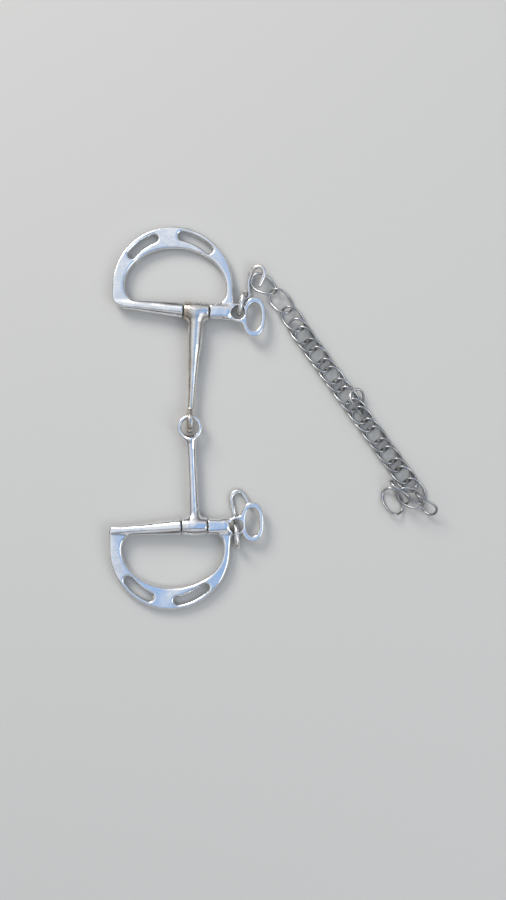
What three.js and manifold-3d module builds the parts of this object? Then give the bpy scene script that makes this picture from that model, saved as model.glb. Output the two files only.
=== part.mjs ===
// Slotted curb bit with a jointed mouthpiece, two curb hooks and a twisted curb chain.
// Millimetres, +Z up. The bit lies on the ground plane z = 0 with its mouthpiece along Y.
// Each half is modelled in its own frame: x runs along the bar towards the cheekpiece eye,
// y points out of the mouth and z up, with 0,0,0 in the middle of the swivel barrel.

import * as THREE from 'three';
import { mergeVertices } from 'three/addons/utils/BufferGeometryUtils.js';
import Module from 'manifold-3d';

const wasm = await Module();
wasm.setup();

// Whole bit
const BAR_REACH = 69.5;        // centre joint to each bar axis
const AXIS_HEIGHT = 6.2;       // bar axis above the ground
const MOUTH_X = -2.4;          // where the mouthpiece axis crosses the origin line
const CHEEK_TILT = 3.9;        // degrees the D leans down to rest on the ground

// Degrees: turn is the cannon's about the centre joint, skew is how far the bar lags behind it
const UPPER = { name: 'upper', side: 1, turn: 3.4, skew: 1 };
const LOWER = { name: 'lower', side: -1, turn: 2.4, skew: 2 };

// Cheek
const PLATE = 5;               // thickness of the D
const PLATE_EDGE = 1.2;        // rounding of its edges
const D_CENTRE = [-16.3, 15.5];
const D_RADIUS = 39.2;
const D_CORNER = [3, 2.4];      // cut off the D's outer corner
const OPENING_CENTRE = [-14.1, 15];
const OPENING_HALF = [33.2, 25.4];
const BOW_FOOT = [[25.6, 0], [25.6, 3], [23.6, 7.5]];   // where the bow runs into the boss
const BAR_TOP = 5.2;           // straight lower side of the D opening
const SLOT_RADIUS = 33.1;
const SLOT_WIDTH = 5.4;
const SLOTS = [[144, 114], [81.5, 48]];   // end centres of the rein slots, degrees
const SHOULDER = 8.8;          // half the gap that the barrel turns in
const BAR_RADIUS = 5;          // at the shoulder
const BAR_TIP_RADIUS = 2.3;
const STUB_RADIUS = 4.4;
const HEAD = 4;                // thickness of boss and cheekpiece eye
const HEAD_EDGE = 0.9;
const NECK = [
  [18, -4.4], [24, -4.9], [29.5, -7], [32.5, -10], [36, -6],
  [36, 3], [31, 4.6], [22, 5.2], [18, 4],
];
const NECK_EDGE = 0.6;
const BOSS = [26.9, 0];
const BOSS_RADIUS = 6;
const HOOK_HOLE = 4.2;         // radius
const EYE = [37.3, -2.3];
const EYE_HALF = [7.4, 12.9];
const EYE_HOLE_HALF = [5.2, 9.6];
const EYE_FULLNESS = 2.3;      // 2 is an ellipse; more has fuller shoulders

// Swivel
const PIN_RADIUS = 3;
const PIN_LENGTH = 30;
const PIN_PLAY = 0.35;
const BARREL_HALF = 8;
const BARREL_RADIUS = 6.2;
const BARREL_END_RADIUS = 5.3;
const BARREL_BORE = PIN_RADIUS + 0.4;

// Cannons, from the bar axis towards the centre joint: [distance, radius]
const UPPER_CANNON = [[2, 5.2], [6, 4.9], [18, 3.5], [36, 2.8], [56, 2.5], [64.5, 2.2]];
const LOWER_CANNON = [[2, 5.6], [5, 5.6], [9, 3.8], [20, 2.9], [38, 2.5], [52, 2.8], [56.5, 3.1]];

// Centre joint of the mouthpiece
const TALL_EYE = { y: -1.9, z: 7.6, inner: 5, outer: 7.5, width: 3.6, lean: 6 };
const FLAT_EYE = { x: -0.5, y: -5.8, z: 6.9, inner: 5.55, outer: 8.1, width: 3.4 };

// Curb hooks
const HOOK_WIRE = 2.8;
const HOOK_LOOP_HALF = [7.1, 4.5];

// Curb chain: every ring is the same twisted oval of round wire
const RING_WIRE = 1.8;
const RING_HALF = [9.1, 5.9];
const RING_TWIST = 0.072;
const STRIP_HEADING = -54.4;   // degrees
const STRIP_START = [60.5, 68.4];
const STRIP_LEAD = 30.5;       // from there to the first full pair
const STRIP_HEIGHT = 3;
const PAIR_PITCH = 15.9;       // along the strip, from one pair of rings to the next
const PAIR_SPREAD = 6.4;       // between the two rings of a pair

const steel = { color: 0xc9ced6, roughness: 0.22, metalness: 1 };
const wornSteel = { color: 0xbfc0c0, roughness: 0.3, metalness: 1 };
const chainSteel = { color: 0x9a9c9e, roughness: 0.38, metalness: 1 };

const THROUGH = 30;            // length of a tool that cuts right through

const rad = THREE.MathUtils.degToRad;

// Boolean helpers

// Leaves out the zero-area triangles that a lathe makes where its profile meets the axis.
function withArea(index) {
  const kept = [];
  for (let i = 0; i < index.length; i += 3) {
    const [a, b, c] = index.slice(i, i + 3);
    if (a !== b && b !== c && c !== a) kept.push(a, b, c);
  }
  return kept;
}

function toSolid(geometry) {
  const bare = geometry.clone();
  bare.deleteAttribute('normal');
  bare.deleteAttribute('uv');
  const merged = mergeVertices(bare, 1e-4);
  const vertProperties = Float32Array.from(merged.attributes.position.array);
  const triVerts = Uint32Array.from(withArea([...merged.index.array]));
  return new wasm.Manifold(new wasm.Mesh({ numProp: 3, vertProperties, triVerts }));
}

function toGeometry(solid) {
  const mesh = solid.getMesh();
  const geometry = new THREE.BufferGeometry();
  geometry.setAttribute('position', new THREE.BufferAttribute(mesh.vertProperties, 3));
  geometry.setIndex(new THREE.BufferAttribute(mesh.triVerts, 1));
  geometry.computeVertexNormals();
  return geometry;
}

function join(geometries) {
  return geometries.map(toSolid).reduce((sum, solid) => sum.add(solid));
}

function cut(solid, geometries) {
  return geometries.map(toSolid).reduce((rest, tool) => rest.subtract(tool), solid);
}

function placed(geometry, position, turn = [0, 0, 0]) {
  const euler = new THREE.Euler(rad(turn[0]), rad(turn[1]), rad(turn[2]));
  const matrix = new THREE.Matrix4().makeRotationFromEuler(euler).setPosition(...position);
  return geometry.clone().applyMatrix4(matrix);
}

// Outlines

function arc(centre, half, from, to, steps) {
  const points = [];
  for (let i = 0; i <= steps; i++) {
    const angle = rad(from + (to - from) * i / steps);
    const x = centre[0] + half[0] * Math.cos(angle);
    const y = centre[1] + half[1] * Math.sin(angle);
    points.push(new THREE.Vector2(x, y));
  }
  return points;
}

function circle(centre, radius, steps) {
  return arc(centre, [radius, radius], 0, 360 - 360 / steps, steps - 1);
}

// An oval with fuller shoulders than an ellipse.
function oval(centre, half, fullness, steps) {
  const swell = (t) => Math.sign(t) * Math.abs(t) ** (2 / fullness);
  return circle([0, 0], 1, steps).map(({ x, y }) => new THREE.Vector2(
    centre[0] + half[0] * swell(x),
    centre[1] + half[1] * swell(y),
  ));
}

function bend(from, control, to, steps) {
  const ends = [from, control, to].map((p) => new THREE.Vector2(...p));
  return new THREE.QuadraticBezierCurve(...ends).getPoints(steps);
}

// A flat plate centred on z = 0, with its edges rounded by one bevel that stays inside the outline.
function plate(outline, thickness, edge) {
  const geometry = new THREE.ExtrudeGeometry(new THREE.Shape(outline), {
    depth: thickness - 2 * edge,
    bevelThickness: edge,
    bevelSize: edge,
    bevelOffset: -edge,
    bevelSegments: 1,
    bevelEnabled: edge > 0,
  });
  return geometry.translate(0, 0, edge - thickness / 2);
}

// A round bar along +Y from a list of [distance along, radius], starting and ending on the axis.
function turned(profile, sides) {
  return new THREE.LatheGeometry(profile.map(([along, radius]) => new THREE.Vector2(radius, along)), sides);
}

// A round-edged eye about the z axis.
function eyeRing({ inner, outer, width }, sides) {
  const middle = (inner + outer) / 2;
  const half = (outer - inner) / 2;
  const section = [];
  for (let i = 0; i <= 8; i++) {
    const angle = rad(-180 + 45 * i);
    section.push(new THREE.Vector2(middle + half * Math.cos(angle), width / 2 * Math.sin(angle)));
  }
  section[8].copy(section[0]);
  return new THREE.LatheGeometry(section, sides);
}

// Round wire bent to a closed oval; twist lifts two opposite quarters and drops the others.
function wireOval(half, wire, twist, sides, steps) {
  const geometry = new THREE.TorusGeometry(half[0], wire / 2, sides, steps);
  const position = geometry.attributes.position;
  const point = new THREE.Vector3();
  for (let i = 0; i < position.count; i++) {
    point.fromBufferAttribute(position, i);
    const angle = Math.atan2(point.y, point.x);
    const outward = Math.hypot(point.x, point.y) - half[0];
    const x = half[0] * Math.cos(angle);
    const y = half[1] * Math.sin(angle);
    const normal = new THREE.Vector2(Math.cos(angle) / half[0], Math.sin(angle) / half[1]).normalize();
    position.setXYZ(i, x + outward * normal.x, y + outward * normal.y, point.z - twist * x * y);
  }
  return geometry;
}

// Round wire along a smooth curve through hand-set points, with flat ends.
function bentWire(points, wire, sides, steps) {
  const path = new THREE.CatmullRomCurve3(points.map((p) => new THREE.Vector3(...p)));
  const section = new THREE.Shape(circle([0, 0], wire / 2, sides));
  return new THREE.ExtrudeGeometry(section, { extrudePath: path, steps });
}

// Cheek: the D with its slots, the bar, the stub, the boss and the cheekpiece eye in one casting

function dOutline() {
  const left = D_CENTRE[0] - D_RADIUS;
  return [
    new THREE.Vector2(left + D_CORNER[0], 0),
    ...BOW_FOOT.map((p) => new THREE.Vector2(...p)),
    ...arc(D_CENTRE, [D_RADIUS, D_RADIUS], 0, 180, 26),
    new THREE.Vector2(left, D_CORNER[1]),
  ];
}

function dOpening() {
  const left = OPENING_CENTRE[0] - OPENING_HALF[0];
  const right = OPENING_CENTRE[0] + OPENING_HALF[0];
  const side = OPENING_CENTRE[1];
  return [
    ...arc(OPENING_CENTRE, OPENING_HALF, 0, 180, 22),
    ...bend([left, side], [left + 0.5, 6.5], [left + 8, BAR_TOP], 5).slice(1),
    ...bend([right - 5, BAR_TOP], [right + 0.5, 6.5], [right, side], 5).slice(0, -1),
  ];
}

function slotOutline([from, to]) {
  const end = SLOT_WIDTH / 2;
  const spot = (angle) => [
    D_CENTRE[0] + SLOT_RADIUS * Math.cos(rad(angle)),
    D_CENTRE[1] + SLOT_RADIUS * Math.sin(rad(angle)),
  ];
  const outer = [SLOT_RADIUS + end, SLOT_RADIUS + end];
  const inner = [SLOT_RADIUS - end, SLOT_RADIUS - end];
  return [
    ...arc(D_CENTRE, outer, from, to, 7),
    ...arc(spot(to), [end, end], to, to - 180, 5).slice(1, -1),
    ...arc(D_CENTRE, inner, to, from, 7),
    ...arc(spot(from), [end, end], from + 180, from, 5).slice(1, -1),
  ];
}

// The bar tapers from the gap to the D's outer corner.
function barCone() {
  const tip = [D_CENTRE[0] - D_RADIUS + BAR_TIP_RADIUS, BAR_TOP - BAR_TIP_RADIUS];
  const start = [-SHOULDER, BAR_TOP - BAR_RADIUS];
  const run = Math.hypot(tip[0] - start[0], tip[1] - start[1]);
  const heading = THREE.MathUtils.radToDeg(Math.atan2(tip[1] - start[1], tip[0] - start[0]));
  const end = run + BAR_TIP_RADIUS / 2;
  const profile = [[-1, 0], [-1, BAR_RADIUS], [run - 1, BAR_TIP_RADIUS], [end, BAR_TIP_RADIUS / 2], [end, 0]];
  return placed(turned(profile, 18), [start[0], start[1], 0], [0, 0, heading - 90]);
}

// The stub on the other side of the gap narrows inside the boss.
function stubBar() {
  const straight = 13;
  const end = 16;
  const profile = [[0, 0], [0, STUB_RADIUS], [straight, STUB_RADIUS], [end, STUB_RADIUS / 2], [end, 0]];
  return placed(turned(profile, 18), [SHOULDER, 0, 0], [0, 0, -90]);
}

function roundHole(radius, length) {
  return placed(new THREE.CylinderGeometry(radius, radius, length, 16), [0, 0, 0], [0, 0, 90]);
}

function cheekSolid() {
  const bow = cut(toSolid(plate(dOutline(), PLATE, PLATE_EDGE)), [
    plate(dOpening(), THROUGH, 0),
    ...SLOTS.map((slot) => plate(slotOutline(slot), THROUGH, 0)),
  ]);
  const body = bow.add(join([
    barCone(),
    stubBar(),
    plate(NECK.map((p) => new THREE.Vector2(...p)), HEAD, NECK_EDGE),
    plate(circle(BOSS, BOSS_RADIUS, 24), HEAD, HEAD_EDGE),
    plate(oval(EYE, EYE_HALF, EYE_FULLNESS, 32), HEAD, HEAD_EDGE),
  ]));
  const gap = new THREE.BoxGeometry(2 * SHOULDER, 2 * SHOULDER, THROUGH);
  return cut(body, [
    placed(gap, [0, BAR_TOP + 0.5 - SHOULDER, 0]),
    roundHole(PIN_RADIUS + PIN_PLAY, PIN_LENGTH + 2 * PIN_PLAY),
    plate(circle(BOSS, HOOK_HOLE, 20), THROUGH, 0),
    plate(oval(EYE, EYE_HOLE_HALF, EYE_FULLNESS, 28), THROUGH, 0),
  ]);
}

// Mouthpiece halves, in the hub frame but with y along the cannon instead of square to the bar

function barrel(skew) {
  const chamfer = 0.7;
  const profile = [
    [-BARREL_HALF, 0],
    [-BARREL_HALF, BARREL_RADIUS - chamfer],
    [-BARREL_HALF + chamfer, BARREL_RADIUS],
    [BARREL_HALF / 2, BARREL_RADIUS - 0.2],
    [BARREL_HALF, BARREL_END_RADIUS],
    [BARREL_HALF, 0],
  ];
  return placed(turned(profile, 22), [0, 0, 0], [0, 0, skew - 90]);
}

function mouthSolid(skew, widths, eye) {
  const start = widths[0][0];
  const far = widths[widths.length - 1][0];
  const profile = [[-far, 0], ...widths.map(([from, radius]) => [-from, radius]).reverse(), [-start, 0]];
  const bore = placed(roundHole(BARREL_BORE, THROUGH), [0, 0, 0], [0, 0, skew]);
  return cut(join([barrel(skew), turned(profile, 16), eye]), [bore]);
}

function upperMouth() {
  const centre = [0, TALL_EYE.y - BAR_REACH, TALL_EYE.z - AXIS_HEIGHT];
  return mouthSolid(UPPER.skew, UPPER_CANNON, placed(eyeRing(TALL_EYE, 26), centre, [0, TALL_EYE.lean, 90]));
}

// The lower half's frame is mirrored, so its eye is placed by its distance beyond the joint.
function lowerMouth() {
  const centre = [FLAT_EYE.x, -FLAT_EYE.y - BAR_REACH, FLAT_EYE.z - AXIS_HEIGHT];
  return mouthSolid(LOWER.skew, LOWER_CANNON, placed(eyeRing(FLAT_EYE, 26), centre, [90, 0, 0]));
}

// Curb hooks: a closed eye hung on the boss, and an open U that takes the end ring of the chain

function hookSolid(centre, heading, points) {
  const eye = placed(wireOval(HOOK_LOOP_HALF, HOOK_WIRE, 0, 8, 22), [0, 0, 0], [90, 0, 0]);
  return join([placed(eye, centre, [0, 0, heading]), bentWire(points, HOOK_WIRE, 8, 34)]);
}

function upperHook() {
  return hookSolid([30.8, 74.6, 6.1], 76.5, [
    [31.4, 77.2, 2], [33.6, 77.4, 1.7], [35.7, 79.6, 1.7], [35.4, 84, 1.8],
    [35.7, 90, 2.3], [36.9, 94.8, 4], [40, 98, 5.6], [43.4, 98, 6.3],
    [45.4, 95.4, 6.3], [44.9, 91.6, 6], [43.4, 88.2, 5.6], [42.2, 85.6, 5.1],
  ]);
}

function lowerHook() {
  return hookSolid([27.8, -76.1, 6.1], -86, [
    [27.7, -74.2, 1.9], [27.2, -69, 1.7], [26.2, -63, 1.6], [24.6, -56, 1.6],
    [24.2, -50.4, 1.6], [27, -47.4, 1.6], [30.6, -47.6, 1.6], [33.2, -51, 1.6],
    [35.2, -55, 1.6], [36.4, -57.6, 1.6],
  ]);
}

// Curb chain

// Ring i of the straight run, where each ring links the next two; 0 is the first of a full pair.
function stripSpot(i) {
  const pair = Math.floor(i / 2);
  const along = STRIP_LEAD + PAIR_PITCH * pair + PAIR_SPREAD * (i - 2 * pair);
  const heading = rad(STRIP_HEADING);
  const x = STRIP_START[0] + along * Math.cos(heading);
  const y = STRIP_START[1] + along * Math.sin(heading);
  return [x, y, STRIP_HEIGHT, STRIP_HEADING, 0, 0];
}

// Loose rings at both ends: x, y, z, heading, pitch, roll.
const HEAD_RINGS = [
  [45.5, 86.6, 4.4, -32, 0, -20],
  [56.3, 76.2, 3.2, -47, 0, 0],
  [64.2, 64.6, 3.2, -50, 0, 0],
];
const STRIP_FIRST = -2;
const STRIP_RINGS = 17;
const TAIL_RINGS = [
  [149.4, -54.8, 6.7, -47, 0, 70],
  [140.2, -51.2, 8.6, -25, 0, 0],
  [132.4, -47.6, 6.7, -54, 0, 75],
  [129, -53.6, 3, -62, 0, 0],
];
const FLY_LINK = [106.5, 10, 6.5, -75, 5, -50];

// Assembly

function named(name, geometry, finish) {
  const mesh = new THREE.Mesh(geometry, new THREE.MeshStandardMaterial(finish));
  mesh.name = name;
  return mesh;
}

// The lower half is the upper one's mirror image.
function mirrored(geometry, side) {
  if (side > 0) return geometry;
  const index = geometry.index.array;
  for (let i = 0; i < index.length; i += 3) {
    [index[i + 1], index[i + 2]] = [index[i + 2], index[i + 1]];
  }
  geometry.applyMatrix4(new THREE.Matrix4().makeScale(1, -1, 1));
  geometry.computeVertexNormals();
  return geometry;
}

function half({ name, side, turn, skew }, mouth) {
  const arm = new THREE.Group();
  arm.position.set(MOUTH_X, 0, AXIS_HEIGHT);
  arm.rotation.z = rad(-side * turn);
  const cannon = named(`mouth_${name}`, mirrored(toGeometry(mouth), side), steel);
  cannon.position.y = side * BAR_REACH;
  const hub = new THREE.Group();
  hub.position.y = side * BAR_REACH;
  hub.rotation.z = rad(side * skew);
  const cheek = new THREE.Group();
  cheek.rotation.x = rad(-side * CHEEK_TILT);
  const pin = new THREE.CylinderGeometry(PIN_RADIUS, PIN_RADIUS, PIN_LENGTH, 16).rotateZ(rad(90));
  cheek.add(named(`cheek_${name}`, mirrored(toGeometry(cheekSolid()), side), steel));
  cheek.add(named(`swivel_pin_${name}`, pin, wornSteel));
  hub.add(cheek);
  arm.add(hub, cannon);
  return arm;
}

function ring(name, [x, y, z, heading, pitch, roll]) {
  const wire = mergeVertices(wireOval(RING_HALF, RING_WIRE, RING_TWIST, 6, 18));
  const mesh = named(name, wire, chainSteel);
  mesh.position.set(x, y, z);
  mesh.rotation.set(rad(roll), rad(pitch), rad(heading), 'ZYX');
  return mesh;
}

const bit = new THREE.Group();
bit.add(half(UPPER, upperMouth()), half(LOWER, lowerMouth()));
bit.add(named('curb_hook_upper', toGeometry(upperHook()), wornSteel));
bit.add(named('curb_hook_lower', toGeometry(lowerHook()), wornSteel));

const strip = Array.from({ length: STRIP_RINGS }, (_, i) => stripSpot(STRIP_FIRST + i));
[...HEAD_RINGS, ...strip, ...TAIL_RINGS].forEach((spot, i) => {
  bit.add(ring(`chain_ring_${String(i + 1).padStart(2, '0')}`, spot));
});
bit.add(ring('fly_link', FLY_LINK));

// Origin at the middle of the box's underside
const part = new THREE.Group();
part.add(bit);
part.updateMatrixWorld(true);
const box = new THREE.Box3().setFromObject(bit, true);
bit.position.set(-(box.min.x + box.max.x) / 2, -(box.min.y + box.max.y) / 2, -box.min.z);

export default part;
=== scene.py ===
"""Looks of the slotted curb bit: smooth castings, bent wire and a twisted curb chain.

Sizes are in millimetres in the design's own frame; TO_ROW takes them to the frame of the row.
Castings are solids blended from distance fields, so that they get the soft fillets of a casting.
"""

import functools
import math

import bmesh
import bpy
import numpy as np
import openvdb
from mathutils import Matrix, Vector


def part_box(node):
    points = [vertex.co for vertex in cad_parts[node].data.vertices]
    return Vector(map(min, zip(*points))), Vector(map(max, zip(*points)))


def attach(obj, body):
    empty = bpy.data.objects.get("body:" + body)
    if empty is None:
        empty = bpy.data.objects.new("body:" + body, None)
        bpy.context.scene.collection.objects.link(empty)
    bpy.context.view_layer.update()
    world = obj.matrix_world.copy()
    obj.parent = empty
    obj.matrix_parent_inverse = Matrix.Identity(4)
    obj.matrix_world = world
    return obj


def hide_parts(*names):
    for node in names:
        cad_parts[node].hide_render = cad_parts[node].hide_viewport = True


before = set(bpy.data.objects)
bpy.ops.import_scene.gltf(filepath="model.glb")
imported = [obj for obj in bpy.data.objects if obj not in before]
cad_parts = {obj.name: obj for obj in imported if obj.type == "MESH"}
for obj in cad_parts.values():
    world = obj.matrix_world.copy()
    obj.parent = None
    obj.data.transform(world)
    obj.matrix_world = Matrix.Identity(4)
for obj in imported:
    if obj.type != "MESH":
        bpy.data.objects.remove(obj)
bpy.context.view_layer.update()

# Whole bit, as in the design
MM = 0.001
BAR_REACH = 69.5
AXIS_HEIGHT = 6.2
MOUTH_X = -2.4
CHEEK_TILT = 3.9

# side of the mouth, cannon's turn about the centre joint, how far the bar lags behind it
UPPER = dict(name="upper", side=1, turn=3.4, skew=1)
LOWER = dict(name="lower", side=-1, turn=2.4, skew=2)

# Cheek, seen with the barrel centre at 0,0, x along the bar and y out of the mouth
PLATE = 4.96                # thickness of the D
PLATE_ROUND = 1.6
D_CENTRE = (-16.3, 15.5)
D_RADIUS = 39.15
D_CORNER_RADIUS = dict(upper=8, lower=1.5)
OPENING_CENTRE = (-14.5, 15)
OPENING_HALF = (32.8, 25.2)
OPENING_CORNERS = (8, 5)    # how far the D opening's two bottom corners reach along the bar
BOW_FOOT = ((25.6, 0), (25.6, 3), (23.6, 7.5))
BAR_TOP = 5.2
GAP_TOP = 6.4
SLOT_RADIUS = 33.4
SLOT_WIDTH = 5.2
SLOTS = ((144, 114), (81.5, 48))    # degrees about the D's centre
SHOULDER = 8.8              # half the gap that the barrel turns in
BAR_RADIUS = 5
BAR_TIP_RADIUS = 2.3
STUB_RADII = (4.9, 4.4)
STUB_END = 19
STUB_FLAT = 3.7             # half the height between the stub's flattened faces
HEAD = 4                    # thickness of the boss, neck and eye
HEAD_ROUND = 1.1
BOSS = (26.9, 0)
BOSS_RADIUS = 6
HOOK_HOLE = 4.2
EYE = (37.3, -2.3)
EYE_HALF = (7.5, 13)
EYE_HOLE_HALF = (4.7, 9.1)
EYE_FULLNESS = 2.3
NECK = ((18, -4.4), (24, -4.9), (29.5, -7), (32.5, -10), (36, -6), (36, 3), (31, 4.2), (22, 5.2), (18, 4))
CHEEK_SPACE = ((-57.6, -17, -6.5), (46.6, 56.6, 6.5))

# Swivel and mouthpiece
PIN_RADIUS = 3
PIN_LENGTH = 30
PIN_PLAY = 0.35
PIN_CHAMFER = 0.4
PIN_WAIST = (4, 0.04)       # half length and depth
BARREL_HALF = 8
BARREL_RADII = ((-BARREL_HALF, 5.8), (-4, 6.3), (2, 6.3), (BARREL_HALF, 5.6))
BARREL_BORE = PIN_RADIUS + 0.4
REST_HEIGHT = 0.15 - AXIS_HEIGHT        # the mouthpiece's lowest point, seen from the barrel
# Distance from the barrel centre, radius
UPPER_CANNON = ((0, 5.6), (12, 5.2), (22, 4.8), (30, 3.7), (42, 2.9), (54, 2.4), (60, 2.3), (65.8, 2.5))
LOWER_CANNON = ((0, 5), (6, 4), (9, 3.3), (20, 3), (38, 2.8), (50, 3), (56.5, 3.8))
TALL_EYE = dict(y=-1.9, z=7.6, inner=5, outer=7.4, width=3.5, lean=6)
FLAT_EYE = dict(x=-0.5, y=-5.8, z=6.9, inner=5.5, outer=8.2, width=3.4)
MOUTH_SPACE = (10, 7.6, -8, 11)     # half width, reach past the barrel centre, lowest and highest point

# Wire
HOOK_WIRE = 3
HOOK_MARGIN = 2.4           # room round a hook in its grid
HOOK_LOOP_HALF = (7.1, 4.5)
RING_WIRE = 1.64
RING_HALF = (9.02, 5.86)
RING_TWIST = 0.072
RINGS = 24
UP = Vector((0, 0, 1))

CASTING_STEP = 0.35         # grid spacing of the castings' distance fields
WIRE_STEP = 0.22            # and of the hooks'

# Blends between the parts of a casting
BAR_FILLET = 1.6
CORNER_EDGE = 1.5
STUB_FILLET = 2.2
HEAD_FILLET = 1.8
NECK_FILLETS = (0.8, 1.2)
SOFT_EDGE = 1
GAP_EDGE = 0.5
BARREL_EDGE = 0.7
BORE_EDGE = 0.4
SOLE_EDGE = 0.3
UPPER_FILLETS = (2.5, 1.8)  # cannon to barrel, cannon to eye
LOWER_FILLETS = (2, 3.5)
HOOK_FILLET = 0.7

# View: what the middle of the picture looks at, and the height of ground that it shows
VIEW_CENTRE = (38.2, -20.4)
VIEW_HEIGHT = 582


# ---------------------------------------------------------------- places

def barrel_place(half):
    """The barrel centre, a cannon's length from the centre joint."""
    turn = math.radians(half["turn"])
    across = BAR_REACH * math.sin(turn)
    along = half["side"] * BAR_REACH * math.cos(turn)
    return Matrix.Translation((MOUTH_X + across, along, AXIS_HEIGHT))


def turned_matrix(half, degrees):
    return barrel_place(half) @ Matrix.Rotation(math.radians(-half["side"] * degrees), 4, "Z")


def mouth_matrix(half):
    """Barrel centre at 0,0,0 and y along the cannon."""
    return turned_matrix(half, half["turn"])


def cheek_matrix(half):
    """Barrel centre at 0,0,0, x along the bar and y out of the mouth, in the plane of the D."""
    tilt = Matrix.Rotation(math.radians(-half["side"] * CHEEK_TILT), 4, "X")
    return turned_matrix(half, half["turn"] - half["skew"]) @ tilt


def mirror_matrix(half):
    return Matrix.Scale(half["side"], 4, (0, 1, 0))


def design_shift():
    """From the design's origin to the row's, read off the upper pin, which is centred on the barrel."""
    low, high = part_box("swivel_pin_upper")
    return (low + high) / 2 / MM - barrel_place(UPPER).translation


SHIFT = design_shift()
TO_ROW = Matrix.Scale(MM, 4) @ Matrix.Translation(SHIFT)


# ---------------------------------------------------------------- distance fields

def field_grid(low, high, step):
    axes = [np.arange(a, b + step, step) for a, b in zip(low, high)]
    return np.meshgrid(*axes, indexing="ij")


def smooth_min(a, b, k):
    """The join of two solids, blended over a width of k."""
    h = np.clip(0.5 + 0.5 * (b - a) / k, 0, 1)
    return b + (a - b) * h - k * h * (1 - h)


def smooth_max(a, b, k):
    """What two solids share, blended over a width of k."""
    return -smooth_min(-a, -b, k)


def polygon_field(x, y, points):
    """Signed distance in the plane to a closed outline, negative inside."""
    best = np.full(x.shape, np.inf)
    sign = np.ones(x.shape)
    for (ax, ay), (bx, by) in zip(points, points[1:] + points[:1]):
        ex, ey = bx - ax, by - ay
        wx, wy = x - ax, y - ay
        t = np.clip((wx * ex + wy * ey) / (ex * ex + ey * ey), 0, 1)
        best = np.minimum(best, (wx - ex * t) ** 2 + (wy - ey * t) ** 2)
        crosses = ((ay <= y) != (by <= y)) & ((ex * wy > ey * wx) == (by > ay))
        sign = np.where(crosses, -sign, sign)
    return sign * np.sqrt(best)


def oval_field(x, y, centre, half, fullness):
    """Near its edge this is the distance to an oval; fullness 2 makes it an ellipse."""
    tiny = 1e-9
    u = np.abs(x - centre[0]) / half[0] + tiny
    v = np.abs(y - centre[1]) / half[1] + tiny
    size = (u ** fullness + v ** fullness) ** (1 / fullness)
    slope = np.hypot(u ** (fullness - 1) / half[0], v ** (fullness - 1) / half[1]) * size ** (1 - fullness)
    return (size - 1) / slope


def rounded_plate(flat, z, thickness, rounding):
    """A plate with outline field flat, and its edges rounded."""
    a, b = flat + rounding, np.abs(z) - thickness / 2 + rounding
    return np.hypot(np.maximum(a, 0), np.maximum(b, 0)) + np.minimum(np.maximum(a, b), 0) - rounding


def line_distance(x, y, z, start, end):
    """Distance to the straight line from start to end, and the fraction of it passed there."""
    a, e = np.array(start, float), np.subtract(end, start)
    along = ((x - a[0]) * e[0] + (y - a[1]) * e[1] + (z - a[2]) * e[2]) / e.dot(e)
    t = np.clip(along, 0, 1)
    off = (x - a[0] - t * e[0]) ** 2 + (y - a[1] - t * e[1]) ** 2 + (z - a[2] - t * e[2]) ** 2
    return np.sqrt(off), t


def cone_field(x, y, z, start, end, radii):
    """A round bar whose radius runs evenly from start to end."""
    off, t = line_distance(x, y, z, start, end)
    return off - (radii[0] + (radii[1] - radii[0]) * t)


def ring_field(across, up, wide, eye):
    """A round-edged eye: across and up span its plane, wide is the way through it."""
    middle, reach = (eye["inner"] + eye["outer"]) / 2, (eye["outer"] - eye["inner"]) / 2
    flat = np.abs(np.hypot(across, up) - middle) - reach
    return rounded_plate(flat, wide, eye["width"], 0.85 * reach)


def wire_field(x, y, z, points, radius):
    """Round wire with round ends along a polyline."""
    distances = (line_distance(x, y, z, a, b)[0] for a, b in zip(points[:-1], points[1:]))
    return functools.reduce(np.minimum, distances) - radius


def surface(name, field, low, step, matrix):
    """A smooth mesh of the zero surface of a field sampled from low in steps."""
    band = 3 * step             # beyond this the distances don't matter
    grid = openvdb.FloatGrid(band)
    grid.copyFromArray(np.clip(field, -band, band).astype(np.float32))
    points, _, quads = grid.convertToPolygons(isovalue=0.0, adaptivity=0.0)
    points = points * step + np.array(low)
    mirrored = matrix.to_3x3().determinant() < 0
    faces = [q if mirrored else q[::-1] for q in quads.tolist()]
    mesh = bpy.data.meshes.new(name)
    mesh.from_pydata(points.tolist(), [], faces)
    mesh.transform(matrix)
    mesh.shade_smooth()
    piece = bpy.data.objects.new(name, mesh)
    bpy.context.scene.collection.objects.link(piece)
    relax = piece.modifiers.new("relax", "SMOOTH")
    relax.factor = 0.5
    relax.iterations = 2
    return piece


# ---------------------------------------------------------------- outlines

def arc(centre, half, start, end, steps):
    """Points along part of an ellipse, in degrees."""
    angles = np.radians(np.linspace(start, end, steps + 1))
    return [(centre[0] + half[0] * math.cos(a), centre[1] + half[1] * math.sin(a)) for a in angles]


def bend(a, control, b, steps):
    """A quadratic curve from a to b."""
    return [
        tuple((1 - t) ** 2 * p + 2 * t * (1 - t) * q + t * t * r for p, q, r in zip(a, control, b))
        for t in np.linspace(0, 1, steps + 1)
    ]


def d_outline():
    left = D_CENTRE[0] - D_RADIUS
    return [(left, 0), *BOW_FOOT] + arc(D_CENTRE, (D_RADIUS, D_RADIUS), 0, 180, 72)


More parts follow.
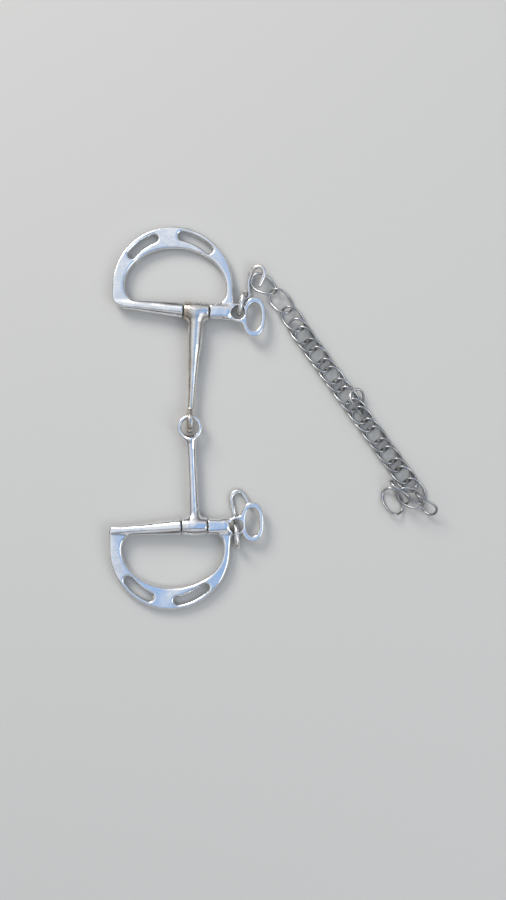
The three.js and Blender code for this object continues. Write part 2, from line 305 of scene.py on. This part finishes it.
def d_opening():
    """Half an ellipse, with a soft corner at each end of the bar."""
    left, right = OPENING_CENTRE[0] - OPENING_HALF[0], OPENING_CENTRE[0] + OPENING_HALF[0]
    side, pull_x, pull_y = OPENING_CENTRE[1], 0.5, 6.5
    left_foot, right_foot = left + OPENING_CORNERS[0], right - OPENING_CORNERS[1]
    return (
        arc(OPENING_CENTRE, OPENING_HALF, 0, 180, 60)
        + bend((left, side), (left + pull_x, pull_y), (left_foot, BAR_TOP), 10)[1:]
        + bend((right_foot, BAR_TOP), (right + pull_x, pull_y), (right, side), 10)[:-1]
    )


def slot_field(x, y, start, end):
    """An arc-shaped slot with round ends."""
    middle, reach = math.radians((start + end) / 2), math.radians((start - end) / 2)
    dx, dy = x - D_CENTRE[0], y - D_CENTRE[1]
    angle = np.clip(np.arctan2(dy, dx) - middle, -reach, reach) + middle
    spot_x, spot_y = SLOT_RADIUS * np.cos(angle), SLOT_RADIUS * np.sin(angle)
    return np.hypot(dx - spot_x, dy - spot_y) - SLOT_WIDTH / 2


# ---------------------------------------------------------------- castings

def bow_field(x, y, z):
    """The D with its opening and its rein slots."""
    fx, fy = x[:, :, 0], y[:, :, 0]
    flat = np.maximum(polygon_field(fx, fy, d_outline()), -polygon_field(fx, fy, d_opening()))
    for start, end in SLOTS:
        flat = np.maximum(flat, -slot_field(fx, fy, start, end))
    return rounded_plate(flat[:, :, None], z, PLATE, PLATE_ROUND)


def bar_field(x, y, z):
    """The tapering bar on the closed side of the barrel and the short stub on the other."""
    tip = (D_CENTRE[0] - D_RADIUS + BAR_TIP_RADIUS, BAR_TOP - BAR_TIP_RADIUS, 0)
    bar = cone_field(x, y, z, (-SHOULDER, BAR_TOP - BAR_RADIUS, 0), tip, (BAR_RADIUS, BAR_TIP_RADIUS))
    stub = cone_field(x, y, z, (SHOULDER, 0, 0), (STUB_END, 0, 0), STUB_RADII)
    return bar, smooth_max(stub, np.abs(z) - STUB_FLAT, SOFT_EDGE)


def head_field(x, y, z):
    """Boss, neck and cheekpiece eye, before their holes are cut."""
    fx, fy = x[:, :, 0], y[:, :, 0]
    boss = np.hypot(fx - BOSS[0], fy - BOSS[1]) - BOSS_RADIUS
    flat = smooth_min(polygon_field(fx, fy, list(NECK)), boss, NECK_FILLETS[0])
    flat = smooth_min(flat, oval_field(fx, fy, EYE, EYE_HALF, EYE_FULLNESS), NECK_FILLETS[1])
    return rounded_plate(flat[:, :, None], z, HEAD, HEAD_ROUND)


def corner_field(x, y, radius):
    """Positive outside the rounded outer corner where bar and D meet."""
    left, foot = D_CENTRE[0] - D_RADIUS, BAR_TOP - 2 * BAR_TIP_RADIUS
    a, b = np.maximum(left + radius - x, 0), np.maximum(foot + radius - y, 0)
    return np.where((a > 0) & (b > 0), np.hypot(a, b) - radius, -radius)


def cheek_field(x, y, z, corner_radius):
    """The whole cheek, with the gap for the barrel and the room for the pin cut out."""
    bar, stub = bar_field(x, y, z)
    body = smooth_min(bow_field(x, y, z), bar, BAR_FILLET)
    body = smooth_max(body, corner_field(x, y, corner_radius), CORNER_EDGE)
    body = smooth_min(body, stub, STUB_FILLET)
    body = smooth_min(body, head_field(x, y, z), HEAD_FILLET)
    body = np.maximum(body, D_CENTRE[0] - D_RADIUS - x)
    hook_hole = np.hypot(x - BOSS[0], y - BOSS[1]) - HOOK_HOLE
    body = smooth_max(body, -hook_hole, SOFT_EDGE)
    body = smooth_max(body, -oval_field(x, y, EYE, EYE_HOLE_HALF, EYE_FULLNESS), SOFT_EDGE)
    gap = np.maximum(np.abs(x) - SHOULDER, y - GAP_TOP)
    body = smooth_max(body, -gap, GAP_EDGE)
    pin = np.maximum(np.hypot(y, z) - PIN_RADIUS - PIN_PLAY, np.abs(x) - PIN_LENGTH / 2 - PIN_PLAY)
    return np.maximum(body, -pin)


def skewed(x, y, half):
    """Along and across the barrel, whose axis is skew degrees off square to the cannon."""
    skew = math.radians(half["skew"])
    return x * math.cos(skew) + y * math.sin(skew), y * math.cos(skew) - x * math.sin(skew)


def barrel_field(along, across, z):
    radius = np.interp(along, *zip(*BARREL_RADII))
    return smooth_max(np.hypot(across, z) - radius, np.abs(along) - BARREL_HALF, BARREL_EDGE)


def cannon_field(x, y, z, widths):
    """The tapering arm from the barrel to the centre joint."""
    length = widths[-1][0]
    radius = np.interp(-y, *zip(*widths))
    ends = np.abs(y + length / 2) - length / 2
    steepness = 0.98
    return smooth_max(steepness * (np.hypot(x, z) - radius), ends, SOFT_EDGE)


def mouth_field(x, y, z, half, widths, eye, fillets):
    """Barrel, cannon and eye in one, flat where it rests and bored for the pin."""
    along, across = skewed(x, y, half)
    arm = smooth_min(barrel_field(along, across, z), cannon_field(x, y, z, widths), fillets[0])
    arm = smooth_min(arm, eye, fillets[1])
    arm = smooth_max(arm, REST_HEIGHT - z, SOLE_EDGE)
    return smooth_max(arm, BARREL_BORE - np.hypot(across, z), BORE_EDGE)


def upper_mouth_field(x, y, z):
    lean = math.radians(TALL_EYE["lean"])
    eye_y, eye_z = y - (TALL_EYE["y"] - BAR_REACH), z - (TALL_EYE["z"] - AXIS_HEIGHT)
    wide = x * math.cos(lean) - eye_z * math.sin(lean)
    up = x * math.sin(lean) + eye_z * math.cos(lean)
    eye = ring_field(eye_y, up, wide, TALL_EYE)
    return mouth_field(x, y, z, UPPER, UPPER_CANNON, eye, UPPER_FILLETS)


def lower_mouth_field(x, y, z):
    eye_x, eye_y = x - FLAT_EYE["x"], y + FLAT_EYE["y"] + BAR_REACH
    eye_z = z - (FLAT_EYE["z"] - AXIS_HEIGHT)
    eye = ring_field(eye_x, eye_y, eye_z, FLAT_EYE)
    return mouth_field(x, y, z, LOWER, LOWER_CANNON, eye, LOWER_FILLETS)


def make_cheek(half):
    low, high = CHEEK_SPACE
    field = cheek_field(*field_grid(low, high, CASTING_STEP), D_CORNER_RADIUS[half["name"]])
    place = TO_ROW @ cheek_matrix(half) @ mirror_matrix(half)
    return surface(f"cheek_casting_{half['name']}", field, low, CASTING_STEP, place)


def make_mouth(half, field, reach):
    """Reach is how far the grid goes from the barrel towards the centre joint."""
    side, past_barrel, bottom, top = MOUTH_SPACE
    low, high = (-side, -reach, bottom), (side, past_barrel, top)
    solid = field(*field_grid(low, high, CASTING_STEP))
    place = TO_ROW @ mouth_matrix(half) @ mirror_matrix(half)
    return surface(f"mouthpiece_{half['name']}", solid, low, CASTING_STEP, place)


# ---------------------------------------------------------------- pins

def make_pin(half):
    """A turned pin with chamfered ends and a faint waist."""
    end, edge = PIN_LENGTH / 2, PIN_RADIUS - PIN_CHAMFER
    waist_end, waist_radius = PIN_WAIST[0], PIN_RADIUS - PIN_WAIST[1]
    profile = [(-end, 0), (-end, edge), (-end + PIN_CHAMFER, PIN_RADIUS), (-waist_end, waist_radius)]
    profile += [(waist_end, waist_radius), (end - PIN_CHAMFER, PIN_RADIUS), (end, edge), (end, 0)]
    bm = bmesh.new()
    steps = 48
    rows = []
    for x, radius in profile:
        turn = [2 * math.pi * i / steps for i in range(steps)]
        rows.append([bm.verts.new((x, radius * math.cos(a), radius * math.sin(a))) for a in turn])
    for a, b in zip(rows[:-1], rows[1:]):
        for i in range(steps):
            bm.faces.new((a[i], b[i], b[(i + 1) % steps], a[(i + 1) % steps]))
    bmesh.ops.remove_doubles(bm, verts=bm.verts, dist=1e-4)
    bmesh.ops.recalc_face_normals(bm, faces=bm.faces)
    bm.transform(TO_ROW @ cheek_matrix(half))
    return linked(f"pin_{half['name']}", bm, sharp_angle=35)


def linked(name, bm, sharp_angle=None):
    """An object of the mesh: smooth all over, or with edges sharper than the angle left hard."""
    mesh = bpy.data.meshes.new(name)
    bm.to_mesh(mesh)
    bm.free()
    if sharp_angle is None:
        mesh.shade_smooth()
    else:
        mesh.set_sharp_from_angle(angle=math.radians(sharp_angle))
    piece = bpy.data.objects.new(name, mesh)
    bpy.context.scene.collection.objects.link(piece)
    return piece


# ---------------------------------------------------------------- hooks

def smooth_route(points, steps):
    """Centripetal Catmull-Rom curve through the points."""
    p = [np.array(q, float) for q in points]
    p = [2 * p[0] - p[1]] + p + [2 * p[-1] - p[-2]]
    route = []
    for a, b, c, d in zip(p, p[1:], p[2:], p[3:]):
        t1 = np.linalg.norm(b - a) ** 0.5
        t2 = t1 + np.linalg.norm(c - b) ** 0.5
        t3 = t2 + np.linalg.norm(d - c) ** 0.5
        for t in np.linspace(t1, t2, steps, endpoint=False):
            ab = (t1 - t) / t1 * a + t / t1 * b
            bc = (t2 - t) / (t2 - t1) * b + (t - t1) / (t2 - t1) * c
            cd = (t3 - t) / (t3 - t2) * c + (t - t2) / (t3 - t2) * d
            abc = (t2 - t) / t2 * ab + t / t2 * bc
            bcd = (t3 - t) / (t3 - t1) * bc + (t - t1) / (t3 - t1) * cd
            route.append((t2 - t) / (t2 - t1) * abc + (t - t1) / (t2 - t1) * bcd)
    return route + [p[-2]]


def make_hook(name, centre, heading, points):
    """A closed eye standing on edge and a U of the same wire, run together where they meet."""
    along = np.array((math.cos(math.radians(heading)), math.sin(math.radians(heading)), 0))
    turn = np.radians(np.linspace(0, 360, 49))
    loop = [np.array(centre) + HOOK_LOOP_HALF[0] * math.cos(a) * along
            + np.array((0, 0, HOOK_LOOP_HALF[1] * math.sin(a))) for a in turn]
    route = smooth_route(points, 5)
    every = np.array(loop + route)
    low, high = every.min(0) - HOOK_MARGIN, every.max(0) + HOOK_MARGIN
    grid = field_grid(low, high, WIRE_STEP)
    radius = HOOK_WIRE / 2
    field = smooth_min(wire_field(*grid, loop, radius), wire_field(*grid, route, radius), HOOK_FILLET)
    return surface(name, field, low, WIRE_STEP, TO_ROW)


# ---------------------------------------------------------------- chain

def ring_matrix(node_name):
    """A ring's own frame, from the middle and the principal directions of its CAD points."""
    points = np.array([v.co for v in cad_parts[node_name].data.vertices])
    middle = points.mean(0)
    _, directions = np.linalg.eigh(np.cov((points - middle).T))
    axes = directions[:, ::-1]
    axes[:, 2] = np.cross(axes[:, 0], axes[:, 1])
    return Matrix.Translation(middle) @ Matrix(axes.tolist()).to_4x4() @ Matrix.Scale(MM, 4)


def make_ring(name, node_name, around=84, sides=18):
    """Round wire on a twisted oval."""
    bm = bmesh.new()
    rows = []
    turn = [2 * math.pi * j / sides for j in range(sides)]
    for i in range(around):
        a = 2 * math.pi * i / around
        x, y = RING_HALF[0] * math.cos(a), RING_HALF[1] * math.sin(a)
        centre = Vector((x, y, -RING_TWIST * x * y))
        out = Vector((math.cos(a) / RING_HALF[0], math.sin(a) / RING_HALF[1], 0)).normalized()
        spokes = [math.cos(b) * out + math.sin(b) * UP for b in turn]
        rows.append([bm.verts.new(centre + RING_WIRE / 2 * spoke) for spoke in spokes])
    for a, b in zip(rows, rows[1:] + rows[:1]):
        for j in range(sides):
            k = (j + 1) % sides
            bm.faces.new((a[j], b[j], b[k], a[k]))
    bmesh.ops.recalc_face_normals(bm, faces=bm.faces)
    bm.transform(ring_matrix(node_name))
    return linked(name, bm)


# ---------------------------------------------------------------- materials

def node(tree, kind, **values):
    made = tree.nodes.new(kind)
    for key, value in values.items():
        setattr(made, key, value)
    return made


def stretched(tree, scale):
    """Object position, with some directions squeezed so that a pattern runs lengthwise."""
    coordinates = node(tree, "ShaderNodeTexCoord")
    mapping = node(tree, "ShaderNodeMapping")
    mapping.inputs["Scale"].default_value = scale
    tree.links.new(coordinates.outputs["Object"], mapping.inputs["Vector"])
    return mapping.outputs["Vector"]


def noise(tree, place, scale, detail, roughness=0.55):
    made = node(tree, "ShaderNodeTexNoise")
    made.inputs["Scale"].default_value = scale
    made.inputs["Detail"].default_value = detail
    made.inputs["Roughness"].default_value = roughness
    tree.links.new(place, made.inputs["Vector"])
    return made.outputs["Fac"]


def spread(tree, value, start, end, low=0.0, high=1.0):
    """Maps start..end to low..high and holds it there."""
    made = node(tree, "ShaderNodeMapRange")
    made.inputs["From Min"].default_value = start
    made.inputs["From Max"].default_value = end
    made.inputs["To Min"].default_value = low
    made.inputs["To Max"].default_value = high
    tree.links.new(value, made.inputs["Value"])
    return made.outputs["Result"]


def combine(tree, operation, a, b):
    made = node(tree, "ShaderNodeMath", operation=operation)
    tree.links.new(a, made.inputs[0])
    tree.links.new(b, made.inputs[1])
    return made.outputs["Value"]


def tint(tree, factor, a, b):
    """Blends from colour a to colour b; either may be a plain colour."""
    made = node(tree, "ShaderNodeMix", data_type="RGBA")
    tree.links.new(factor, made.inputs["Factor"])
    colour_a, colour_b, blend = made.inputs[6], made.inputs[7], made.outputs[2]
    for socket, value in ((colour_a, a), (colour_b, b)):
        if isinstance(value, tuple):
            socket.default_value = (*value, 1)
        else:
            tree.links.new(value, socket)
    return blend


def bumped(tree, height, distance, strength, normal=None):
    made = node(tree, "ShaderNodeBump")
    made.inputs["Strength"].default_value = strength
    made.inputs["Distance"].default_value = distance
    tree.links.new(height, made.inputs["Height"])
    if normal:
        tree.links.new(normal, made.inputs["Normal"])
    return made.outputs["Normal"]


ALONG_BAR = (0.1, 1, 1)
ALONG_MOUTH = (1, 0.1, 1)
EVEN = (1, 1, 1)
# Near-black: the colour of pits, and of the painted shade in hollows
DIRT_AND_SHADE = (0.08, 0.07, 0.055)

# Size of a pattern, as noise scales per metre
CLOUDS = 95
POLISHING_LINES = 420
PITS = 1100
HAND_WORK = 42
REFLECTION_PATCHES = 210


def steel(name, clean, dull, polish, waves, streaks):
    """Worn bare steel: cloudy tone, pits, painted shade in hollows, uneven polish and polishing lines.

    polish is the smoothest and roughest finish, and waves the depth of the hand finishing in metres.
    """
    material = bpy.data.materials.new(name)
    material.use_nodes = True
    tree = material.node_tree
    shader = tree.nodes["Principled BSDF"]
    shader.inputs["Metallic"].default_value = 1
    even = stretched(tree, EVEN)
    lengthwise = stretched(tree, streaks)

    cloud = noise(tree, even, CLOUDS, 5)
    colour = tint(tree, spread(tree, cloud, 0.38, 0.68), clean, dull)
    line = noise(tree, lengthwise, POLISHING_LINES, 4, 0.65)
    colour = tint(tree, spread(tree, line, 0.56, 0.78, 0, 0.6), colour, dull)
    pit = noise(tree, even, PITS, 2)
    colour = tint(tree, spread(tree, pit, 0.66, 0.74, 0, 0.55), colour, DIRT_AND_SHADE)
    # Painted shade: the colour darkens to near-black where ambient occlusion finds hollows, creases and
    # gaps between parts
    occlusion_shade = node(tree, "ShaderNodeAmbientOcclusion", samples=12)
    occlusion_shade.inputs["Distance"].default_value = 5 * MM
    colour = tint(tree, spread(tree, occlusion_shade.outputs["AO"], 0.75, 0.25, 0, 0.92), colour, DIRT_AND_SHADE)
    tree.links.new(colour, shader.inputs["Base Color"])

    patchy = spread(tree, cloud, 0.35, 0.7, polish[0], polish[1])
    worn = spread(tree, line, 0.4, 0.75, 0, 0.12)
    tree.links.new(combine(tree, "ADD", patchy, worn), shader.inputs["Roughness"])

    line_depth, pit_depth = 0.03 * MM, 0.04 * MM
    normal = bumped(tree, noise(tree, even, HAND_WORK, 1), waves, 1)
    normal = bumped(tree, line, line_depth, 0.6, normal)
    normal = bumped(tree, spread(tree, pit, 0.6, 0.75, 1, 0), pit_depth, 0.5, normal)
    tree.links.new(normal, shader.inputs["Normal"])
    return material


def add_painted_reflection(material, start, end, colour):
    """Adds a painted reflection of the brown ground, growing from start to end across the mouthpiece, in
    patches.
    """
    tree = material.node_tree
    base = tree.nodes["Principled BSDF"].inputs["Base Color"]
    place = node(tree, "ShaderNodeSeparateXYZ")
    tree.links.new(stretched(tree, EVEN), place.inputs["Vector"])
    # Painted reflection: brown grows towards the mouthpiece's -X side, where the round bar reflects the
    # ground
    side = spread(tree, place.outputs["X"], start, end)
    reflection_noise = noise(tree, stretched(tree, (1, 0.4, 1)), REFLECTION_PATCHES, 5, 0.7)
    patch = spread(tree, reflection_noise, 0.4, 0.6, 0.1, 0.85)
    reflected_brown = tint(tree, combine(tree, "MULTIPLY", side, patch), base.links[0].from_socket, colour)
    tree.links.new(reflected_brown, base)
    return material


CAST = steel("cast_steel", (0.93, 0.94, 0.95), (0.78, 0.8, 0.83), (0.1, 0.24), 0.0011, ALONG_BAR)
ARM = steel("arm_steel", (0.9, 0.91, 0.93), (0.72, 0.73, 0.75), (0.12, 0.28), 0.0005, ALONG_MOUTH)
WORN_ARM = steel("worn_arm_steel_painted_reflection", (0.9, 0.9, 0.89), (0.66, 0.64, 0.6), (0.14, 0.32), 0.0005, ALONG_MOUTH)
# Painted reflection: the upper mouthpiece's -X side is tinted brown in patches, for the ground that the
# bar reflects
ARM_WITH_PAINTED_REFLECTION = add_painted_reflection(WORN_ARM, (SHIFT.x - 0.2) * MM, (SHIFT.x - 3.6) * MM, (0.4, 0.3, 0.2))
WIRE = steel("hook_steel", (0.9, 0.89, 0.87), (0.7, 0.69, 0.66), (0.16, 0.32), 0.0002, EVEN)
CHAIN = steel("chain_steel", (0.58, 0.59, 0.6), (0.28, 0.28, 0.28), (0.2, 0.4), 0.0002, EVEN)
PIN = steel("pin_steel", (0.4, 0.39, 0.38), (0.28, 0.27, 0.26), (0.3, 0.5), 0.0002, ALONG_BAR)


def finish(piece, body, material, slot, *nodes):
    """Gives the piece its material, hangs it from the body's empty and hides the CAD nodes that it stands
    for. The slot is not used.
    """
    piece.data.materials.append(material)
    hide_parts(*nodes)
    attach(piece, body)


# ---------------------------------------------------------------- assembly

def build_halves():
    for half in (UPPER, LOWER):
        name = half["name"]
        finish(make_cheek(half), f"cheek_{name}", CAST, "polished_steel", f"cheek_{name}")
        finish(make_pin(half), f"cheek_{name}", PIN, "pin_steel", f"swivel_pin_{name}")
    upper = make_mouth(UPPER, upper_mouth_field, 80)
    finish(upper, "mouth_upper", ARM_WITH_PAINTED_REFLECTION, "polished_steel", "mouth_upper")
    lower = make_mouth(LOWER, lower_mouth_field, 73.5)
    finish(lower, "mouth_lower", ARM, "polished_steel", "mouth_lower")


def build_hooks():
    upper = make_hook("hook_upper", (30.8, 74.6, 6.1), 76.5, (
        (31.4, 77.2, 2), (33.6, 77.4, 1.7), (35.7, 79.6, 1.7), (35.4, 84, 1.8),
        (35.7, 90, 2.3), (36.9, 94.8, 4), (40, 98, 5.6), (43.4, 98, 6.3),
        (45.4, 95.4, 6.3), (44.9, 91.6, 6), (43.4, 88.2, 5.6), (42.4, 86.2, 5.2),
    ))
    finish(upper, "curb_hook_upper", WIRE, "hook_steel", "curb_hook_upper")
    lower = make_hook("hook_lower", (27.8, -76.1, 6.1), -86, (
        (27.7, -74.2, 1.9), (27.2, -69, 1.7), (26.2, -63, 1.6), (24.6, -56, 1.6),
        (24.2, -50.4, 1.6), (27, -47.4, 1.6), (30.6, -47.6, 1.6), (33.2, -51, 1.6),
        (35.2, -55, 1.6), (36.2, -57, 1.6),
    ))
    finish(lower, "curb_hook_lower", WIRE, "hook_steel", "curb_hook_lower")


def build_chain():
    for i in range(1, RINGS + 1):
        cad = f"chain_ring_{i:02d}"
        finish(make_ring(f"ring_{i:02d}", cad), cad, CHAIN, "chain_steel", cad)
    finish(make_ring("fly_ring", "fly_link"), "fly_link", CHAIN, "chain_steel", "fly_link")


# ---------------------------------------------------------------- stage

def make_floor():
    """A plain pale ground, just under the lowest points of the bit."""
    mesh = bpy.data.meshes.new("floor")
    side = 3
    corners = [(-side, -side, 0), (side, -side, 0), (side, side, 0), (-side, side, 0)]
    mesh.from_pydata(corners, [], [(0, 1, 2, 3)])
    floor = bpy.data.objects.new("floor", mesh)
    bpy.context.scene.collection.objects.link(floor)
    material = bpy.data.materials.new("floor")
    material.use_nodes = True
    shader = material.node_tree.nodes["Principled BSDF"]
    shader.inputs["Base Color"].default_value = (0.66, 0.64, 0.6, 1)
    shader.inputs["Roughness"].default_value = 0.9
    floor.data.materials.append(material)
    floor.location.z = -0.1 * MM


def ramp(tree, factor, stops):
    """Colours at the given places along the factor."""
    made = node(tree, "ShaderNodeValToRGB")
    while len(made.color_ramp.elements) < len(stops):
        made.color_ramp.elements.new(0.5)
    for element, (position, colour) in zip(made.color_ramp.elements, stops):
        element.position = position
        element.color = (*colour, 1)
    tree.links.new(factor, made.inputs["Fac"])
    return made.outputs["Color"]


def make_world():
    """A soft studio sky: dim at the horizon, white above it, and overhead white turning to blue.

    A dark strip on the -Y side gives round bars a dark line along their length.
    """
    world = bpy.data.worlds.new("soft_sky")
    bpy.context.scene.world = world
    world.use_nodes = True
    tree = world.node_tree
    coordinates = node(tree, "ShaderNodeTexCoord")
    direction = coordinates.outputs["Generated"]
    across = node(tree, "ShaderNodeVectorMath", operation="DOT_PRODUCT")
    across.inputs[1].default_value = (1, -0.2, 0)
    tree.links.new(direction, across.inputs[0])
    blue_part = spread(tree, across.outputs["Value"], -0.075, -0.02)
    overhead = tint(tree, blue_part, (0.98, 1.02, 1.08), (0.4, 0.62, 1))
    split = node(tree, "ShaderNodeSeparateXYZ")
    tree.links.new(direction, split.inputs["Vector"])
    low_sky = ramp(tree, split.outputs["Z"], (
        (0, (0.1, 0.09, 0.08)), (0.25, (0.16, 0.15, 0.15)), (0.5, (0.62, 0.63, 0.65)), (0.8, (1, 1, 1)),
    ))
    sky = tint(tree, spread(tree, split.outputs["Z"], 0.72, 0.9), low_sky, overhead)
    none = (0, 0, 0)
    most = (0.85, 0.85, 0.85)
    strip = ramp(tree, spread(tree, split.outputs["Y"], -1, 1), (
        (0.17, none), (0.22, most), (0.27, most), (0.31, none),
    ))
    sky = tint(tree, strip, sky, (0.15, 0.14, 0.14))
    background = tree.nodes["Background"]
    tree.links.new(sky, background.inputs["Color"])
    background.inputs["Strength"].default_value = 0.8


def make_light(name, place, size, power, colour):
    """A soft panel that faces the middle of the bit."""
    data = bpy.data.lights.new(name, "AREA")
    data.shape = "RECTANGLE"
    data.size, data.size_y = size
    data.energy = power
    data.color = colour
    light = bpy.data.objects.new(name, data)
    light.location = place
    light.rotation_euler = (-Vector(place)).to_track_quat("-Z", "Y").to_euler()
    bpy.context.scene.collection.objects.link(light)


def make_camera():
    """Straight down, as the bit is seen lying on the ground."""
    data = bpy.data.cameras.new("camera")
    data.lens = 50
    data.sensor_width = 36
    camera = bpy.data.objects.new("camera", data)
    height = VIEW_HEIGHT * MM / data.sensor_width * data.lens
    aim = Vector((VIEW_CENTRE[0] + SHIFT.x, VIEW_CENTRE[1] + SHIFT.y)) * MM
    camera.location = (aim.x, aim.y, AXIS_HEIGHT * MM + height)
    bpy.context.scene.collection.objects.link(camera)
    bpy.context.scene.camera = camera


make_camera()
build_halves()
build_hooks()
build_chain()
make_floor()
make_world()
make_light("key", (-0.9, 1.3, 1.1), (0.8, 0.8), 20, (1, 0.99, 0.97))
make_light("fill", (0.9, -0.5, 1.0), (0.8, 0.8), 4, (0.92, 0.96, 1))
bpy.context.scene.view_settings.view_transform = "Standard"
